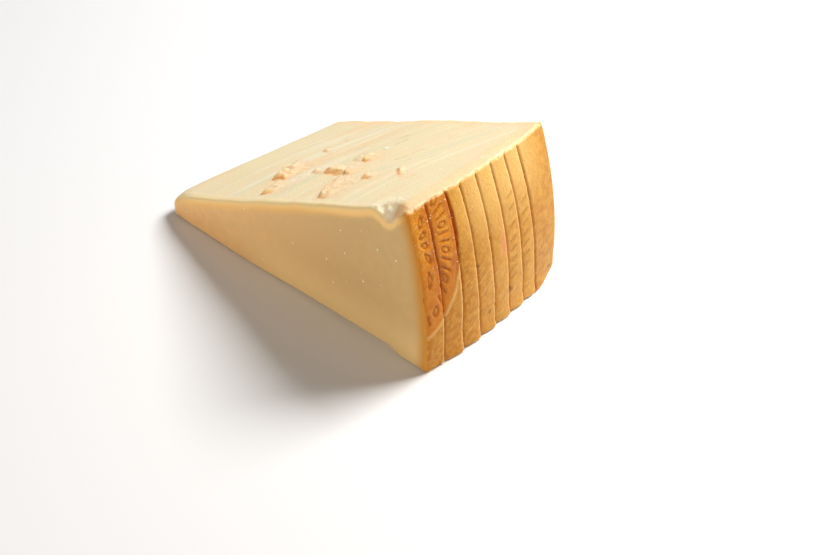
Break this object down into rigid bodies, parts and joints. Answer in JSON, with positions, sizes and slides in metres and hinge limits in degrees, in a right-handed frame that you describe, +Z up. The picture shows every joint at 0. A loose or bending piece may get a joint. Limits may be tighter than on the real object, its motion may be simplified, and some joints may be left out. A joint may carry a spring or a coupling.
{
  "type": "hard cheese wedge",
  "caption": "Wedge of hard, aged cheese with a smooth cut face, a craggy split face on top and a scored, toasted rind, lying on its other split face.",
  "frame": {"origin": "middle of the bounding box's base, on the flat split face that the wedge lies on", "axes": "+X from the thin tip to the rind, +Y from the smooth cut face to the wheel's plate, +Z up"},
  "size_m": [0.2018, 0.1048, 0.0946],
  "materials": {
    "cheese": "satin"
  },
  "bodies": {
    "root": {"cheese_wedge": "cheese"}
  },
  "joints": []
}
